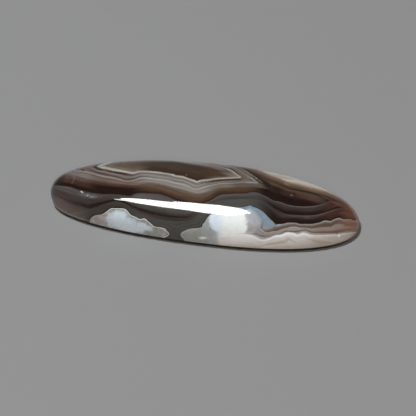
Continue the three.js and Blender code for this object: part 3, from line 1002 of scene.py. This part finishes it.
def corner_layers(tree, colours, fields):
    """The thin grey layers of the lower right corner over the thick white one."""
    along = fields["along"]
    number = bent_by(tree, fields["stack"], fields["waver"], 0.14)
    layers = changing_bands(tree, number, colours, along, CORNER_STACK, CORNER_ALONG)
    layers = shaded(tree, layers, hairlines(tree, fields["stack"], along, 6.0), 0.3)
    layers = shaded(tree, layers, fields["cloud"], 0.25)
    # Painted shade: the layers are darkened towards the right end, where the light falls more weakly
    right_end_shade = add_node(tree, MAP, {"Value": along, "From Min": 11.0, "From Max": 17.0, "To Max": 0.13})
    flush = cover(tree, (number, 3.0, 2.85), (along, 21.5, 25.5), most=0.6)
    return painted(tree, layers, (colours["earth"], right_end_shade), (colours["rose"], flush))


def crystal_flecks(tree, fields):
    """Where the light flecks of tiny crystals show, each about 0.2 mm across."""
    flecks = cloudy(tree, fields["drawing"], FLECK_PACE, 1.0)
    patches = add_node(tree, MATH, {0: fields["crystals"], 1: 0.25, 2: flecks}, operation="MULTIPLY_ADD")
    return cover(tree, (patches, 0.22, 0.42), (fields["crystals"], 0.0, 0.3), most=0.5)


def polished_agate(settings):
    """Polished chalcedony: sharp bands of different clearness under one glassy surface, so the
    gloss is the same all over and only the colour changes from band to band."""
    material = bpy.data.materials.new("Polished banded agate")
    material.use_nodes = True
    tree = material.node_tree
    tree.nodes.clear()
    colours = {name: getattr(settings, name)[:] for name in settings.__annotations__}

    fields = {
        name: add_node(tree, "ShaderNodeAttribute", attribute_name=name).outputs["Fac"]
        for name in (*BAND_NUMBERS, *MARKS)}
    drawing = add_node(tree, "ShaderNodeAttribute", attribute_name="drawing").outputs["Vector"]
    place = add_node(tree, "ShaderNodeSeparateXYZ", {0: drawing}).outputs
    fields.update(
        drawing=drawing, along=place["X"], up=place["Y"], waver=cloudy(tree, drawing, WAVER_PACE, 3.0),
        cloud=cloudy(tree, drawing, CLOUD_PACE, 4.0), grains=cloudy(tree, drawing, GRAIN_PACE, 2.0))

    in_corner = cover(tree, (fields["corner"], -0.04, 0.04), (fields["along"], 1.9, 3.0))
    stone = painted(
        tree, banded_ground(tree, colours, fields),
        (left_lobe_milk(tree, colours, fields), cover(tree, (fields["left_lobe"], -0.06, 0.04))),
        (right_lobe_milk(tree, colours, fields), cover(tree, (fields["right_lobe"], -0.06, 0.04))),
        (corner_layers(tree, colours, fields), in_corner))
    for name, (shade, strength, _, _) in MARKS.items():
        stone = painted(tree, stone, (colours[shade], cover(tree, (fields[name], 0.0, 1.0), most=strength)))
    stone = painted(tree, stone, (colours["milk_blue"], crystal_flecks(tree, fields)))

    # Only the dome is polished and banded: the bevel and the flat back are rougher ground stone, and their
    # colour is painted shade, a dark brown that gives the dark line along the foot of the stone
    polished = cover(tree, (fields["edge"], 0.85, 1.0))
    stone = painted(tree, colours["dark_ring_and_bevel_shade"], (stone, polished))
    roughness = add_node(tree, MIX, {
        "Factor": polished, "A": GROUND_ROUGHNESS, "B": POLISHED_ROUGHNESS}, data_type="FLOAT")
    shader = add_node(tree, "ShaderNodeBsdfPrincipled", {
        "Base Color": stone, "Roughness": roughness, "IOR": CHALCEDONY_IOR})
    add_node(tree, "ShaderNodeOutputMaterial", {"Surface": shader})
    return material


def plain_floor(shade):
    """Matt card: a floor with no pattern, so that only the stone's shadow shows on it."""
    material = bpy.data.materials.new("Matt card floor")
    material.use_nodes = True
    tree = material.node_tree
    tree.nodes.clear()
    shader = add_node(tree, "ShaderNodeBsdfDiffuse", {"Color": shade})
    add_node(tree, "ShaderNodeOutputMaterial", {"Surface": shader})
    return material


class STONE_OT_make_cabochon(bpy.types.Operator):
    """Make the polished agate cabochon"""

    bl_idname = "stone.make_cabochon"
    bl_label = "Make the cabochon"

    def execute(self, context):
        form = context.scene.cabochon_form
        tree, values = cabochon_tree(form)
        values["Finish"] = polished_agate(context.scene.agate_colours)
        stone = made_mesh("polished_cabochon", tree, values)
        if not stone.data.polygons:
            raise RuntimeError("the cabochon's form came out empty")
        carry_bands(stone.data, form.edge_height)
        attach(stone, "root")
        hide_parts(CAD_NODE)
        return {"FINISHED"}


def studio_sky(studio):
    """Light from all round. In the polish it looks as a dim room does that is paler near the floor."""
    world = bpy.data.worlds.new("Studio room")
    world.use_nodes = True
    tree = world.node_tree
    tree.nodes.clear()
    ray = add_node(tree, "ShaderNodeLightPath")
    direction = add_node(tree, "ShaderNodeTexCoord").outputs["Generated"]
    height = add_node(tree, "ShaderNodeSeparateXYZ", {0: direction}).outputs["Z"]
    room = add_node(tree, MAP, {
        "Value": height, "From Min": WALL_TOP, "From Max": 0.0, "To Min": studio.sky_gloss,
        "To Max": studio.sky_gloss + studio.wall_glow}, interpolation_type="SMOOTHSTEP")
    strength = add_node(tree, MIX, {
        "Factor": ray.outputs["Is Glossy Ray"], "A": studio.sky, "B": room}, data_type="FLOAT")
    seen = add_node(tree, MIX, {
        "Factor": ray.outputs["Is Camera Ray"], "A": strength, "B": FLOOR_BRIGHTNESS}, data_type="FLOAT")
    tint = add_node(tree, MIX, {
        "Factor": ray.outputs["Is Diffuse Ray"], "A": (1, 1, 1, 1), "B": (*SKY_TINT, 1)}, data_type="RGBA")
    light = add_node(tree, "ShaderNodeBackground", {"Color": tint, "Strength": seen})
    add_node(tree, "ShaderNodeOutputWorld", {"Surface": light})
    return world


def add_softboxes(studio):
    """The overhead softboxes: ellipses that run into one long streak on the front shoulder. Only
    the polish shows them, and how bright they look in it is their glow."""
    for x, y, length, width, turn in SOFTBOXES:
        data = bpy.data.lights.new("Softbox", "AREA")
        data.shape = "ELLIPSE"
        data.size, data.size_y = length, width
        area = math.pi * length * width / 4
        data.energy = studio.softbox_glow * math.pi * area
        lamp = bpy.data.objects.new("Softbox", data)
        lamp.location = (x, y, SOFTBOX_HEIGHT)
        lamp.rotation_euler = (0, 0, math.radians(turn))
        lamp.visible_diffuse = False
        lamp.visible_camera = False
        bpy.context.scene.collection.objects.link(lamp)


def add_lamps(studio):
    """The soft lamps: a high one, which leaves the stone a short shadow on the right, and a fill
    from behind the camera for the front flank. The polish doesn't show them."""
    for name, place, width, tint in LAMPS:
        data = bpy.data.lights.new(name, "AREA")
        data.shape = "DISK"
        data.size = width
        data.color = tint
        data.energy = getattr(studio, f"{name}_power")
        lamp = bpy.data.objects.new(name, data)
        lamp.location = place
        lamp.rotation_euler = lamp.location.to_track_quat("Z", "Y").to_euler()
        lamp.visible_glossy = False
        lamp.visible_camera = False
        bpy.context.scene.collection.objects.link(lamp)


def add_camera():
    """The camera, at the photograph's viewing angle and framing."""
    data = bpy.data.cameras.new("Camera")
    data.sensor_width = SENSOR_WIDTH
    data.lens = LENS
    data.shift_x, data.shift_y = PICTURE_SHIFT
    data.clip_start = 0.01
    camera = bpy.data.objects.new("Camera", data)
    camera.location = viewpoint() * MM
    camera.rotation_euler = (QUARTER_TURN - VIEW_ELEVATION, 0, VIEW_TURN)
    bpy.context.scene.collection.objects.link(camera)
    bpy.context.scene.camera = camera


class STONE_OT_make_stage(bpy.types.Operator):
    """Make the floor, the lights and the camera"""

    bl_idname = "stone.make_stage"
    bl_label = "Make the stage"

    def execute(self, context):
        studio = context.scene.studio_settings
        half = studio.floor_size / 2
        mesh = bpy.data.meshes.new("floor")
        corners = [(-half, -half, 0), (half, -half, 0), (half, half, 0), (-half, half, 0)]
        mesh.from_pydata(corners, [], [(0, 1, 2, 3)])
        mesh.materials.append(plain_floor(studio.floor_colour[:]))
        floor = bpy.data.objects.new("floor", mesh)
        context.scene.collection.objects.link(floor)
        context.scene.world = studio_sky(studio)
        add_softboxes(studio)
        add_lamps(studio)
        add_camera()
        context.scene.view_settings.view_transform = "Standard"
        return {"FINISHED"}


class STONE_PT_agate(bpy.types.Panel):
    """The sidebar panel that lists the stone's sizes, colours and steps"""

    bl_idname = "STONE_PT_agate"
    bl_label = "Agate cabochon"
    bl_space_type = "VIEW_3D"
    bl_region_type = "UI"
    bl_category = "Agate"

    def draw(self, context):
        for group in ("cabochon_form", "agate_colours", "studio_settings"):
            settings = getattr(context.scene, group)
            column = self.layout.column(align=True)
            for name in settings.__annotations__:
                column.prop(settings, name)
        self.layout.operator(STONE_OT_make_cabochon.bl_idname)
        self.layout.operator(STONE_OT_make_stage.bl_idname)


CLASSES = (
    CabochonForm, AgateColours, StudioSettings, STONE_OT_make_cabochon, STONE_OT_make_stage, STONE_PT_agate,
)


def register():
    for kind in CLASSES:
        bpy.utils.register_class(kind)
    bpy.types.Scene.cabochon_form = bpy.props.PointerProperty(type=CabochonForm)
    bpy.types.Scene.agate_colours = bpy.props.PointerProperty(type=AgateColours)
    bpy.types.Scene.studio_settings = bpy.props.PointerProperty(type=StudioSettings)


def unregister():
    del bpy.types.Scene.studio_settings
    del bpy.types.Scene.agate_colours
    del bpy.types.Scene.cabochon_form
    for kind in reversed(CLASSES):
        bpy.utils.unregister_class(kind)


def main():
    """Makes the stone and its stage."""
    register()
    bpy.ops.stone.make_cabochon()
    bpy.ops.stone.make_stage()


if __name__ == "__main__":
    main()
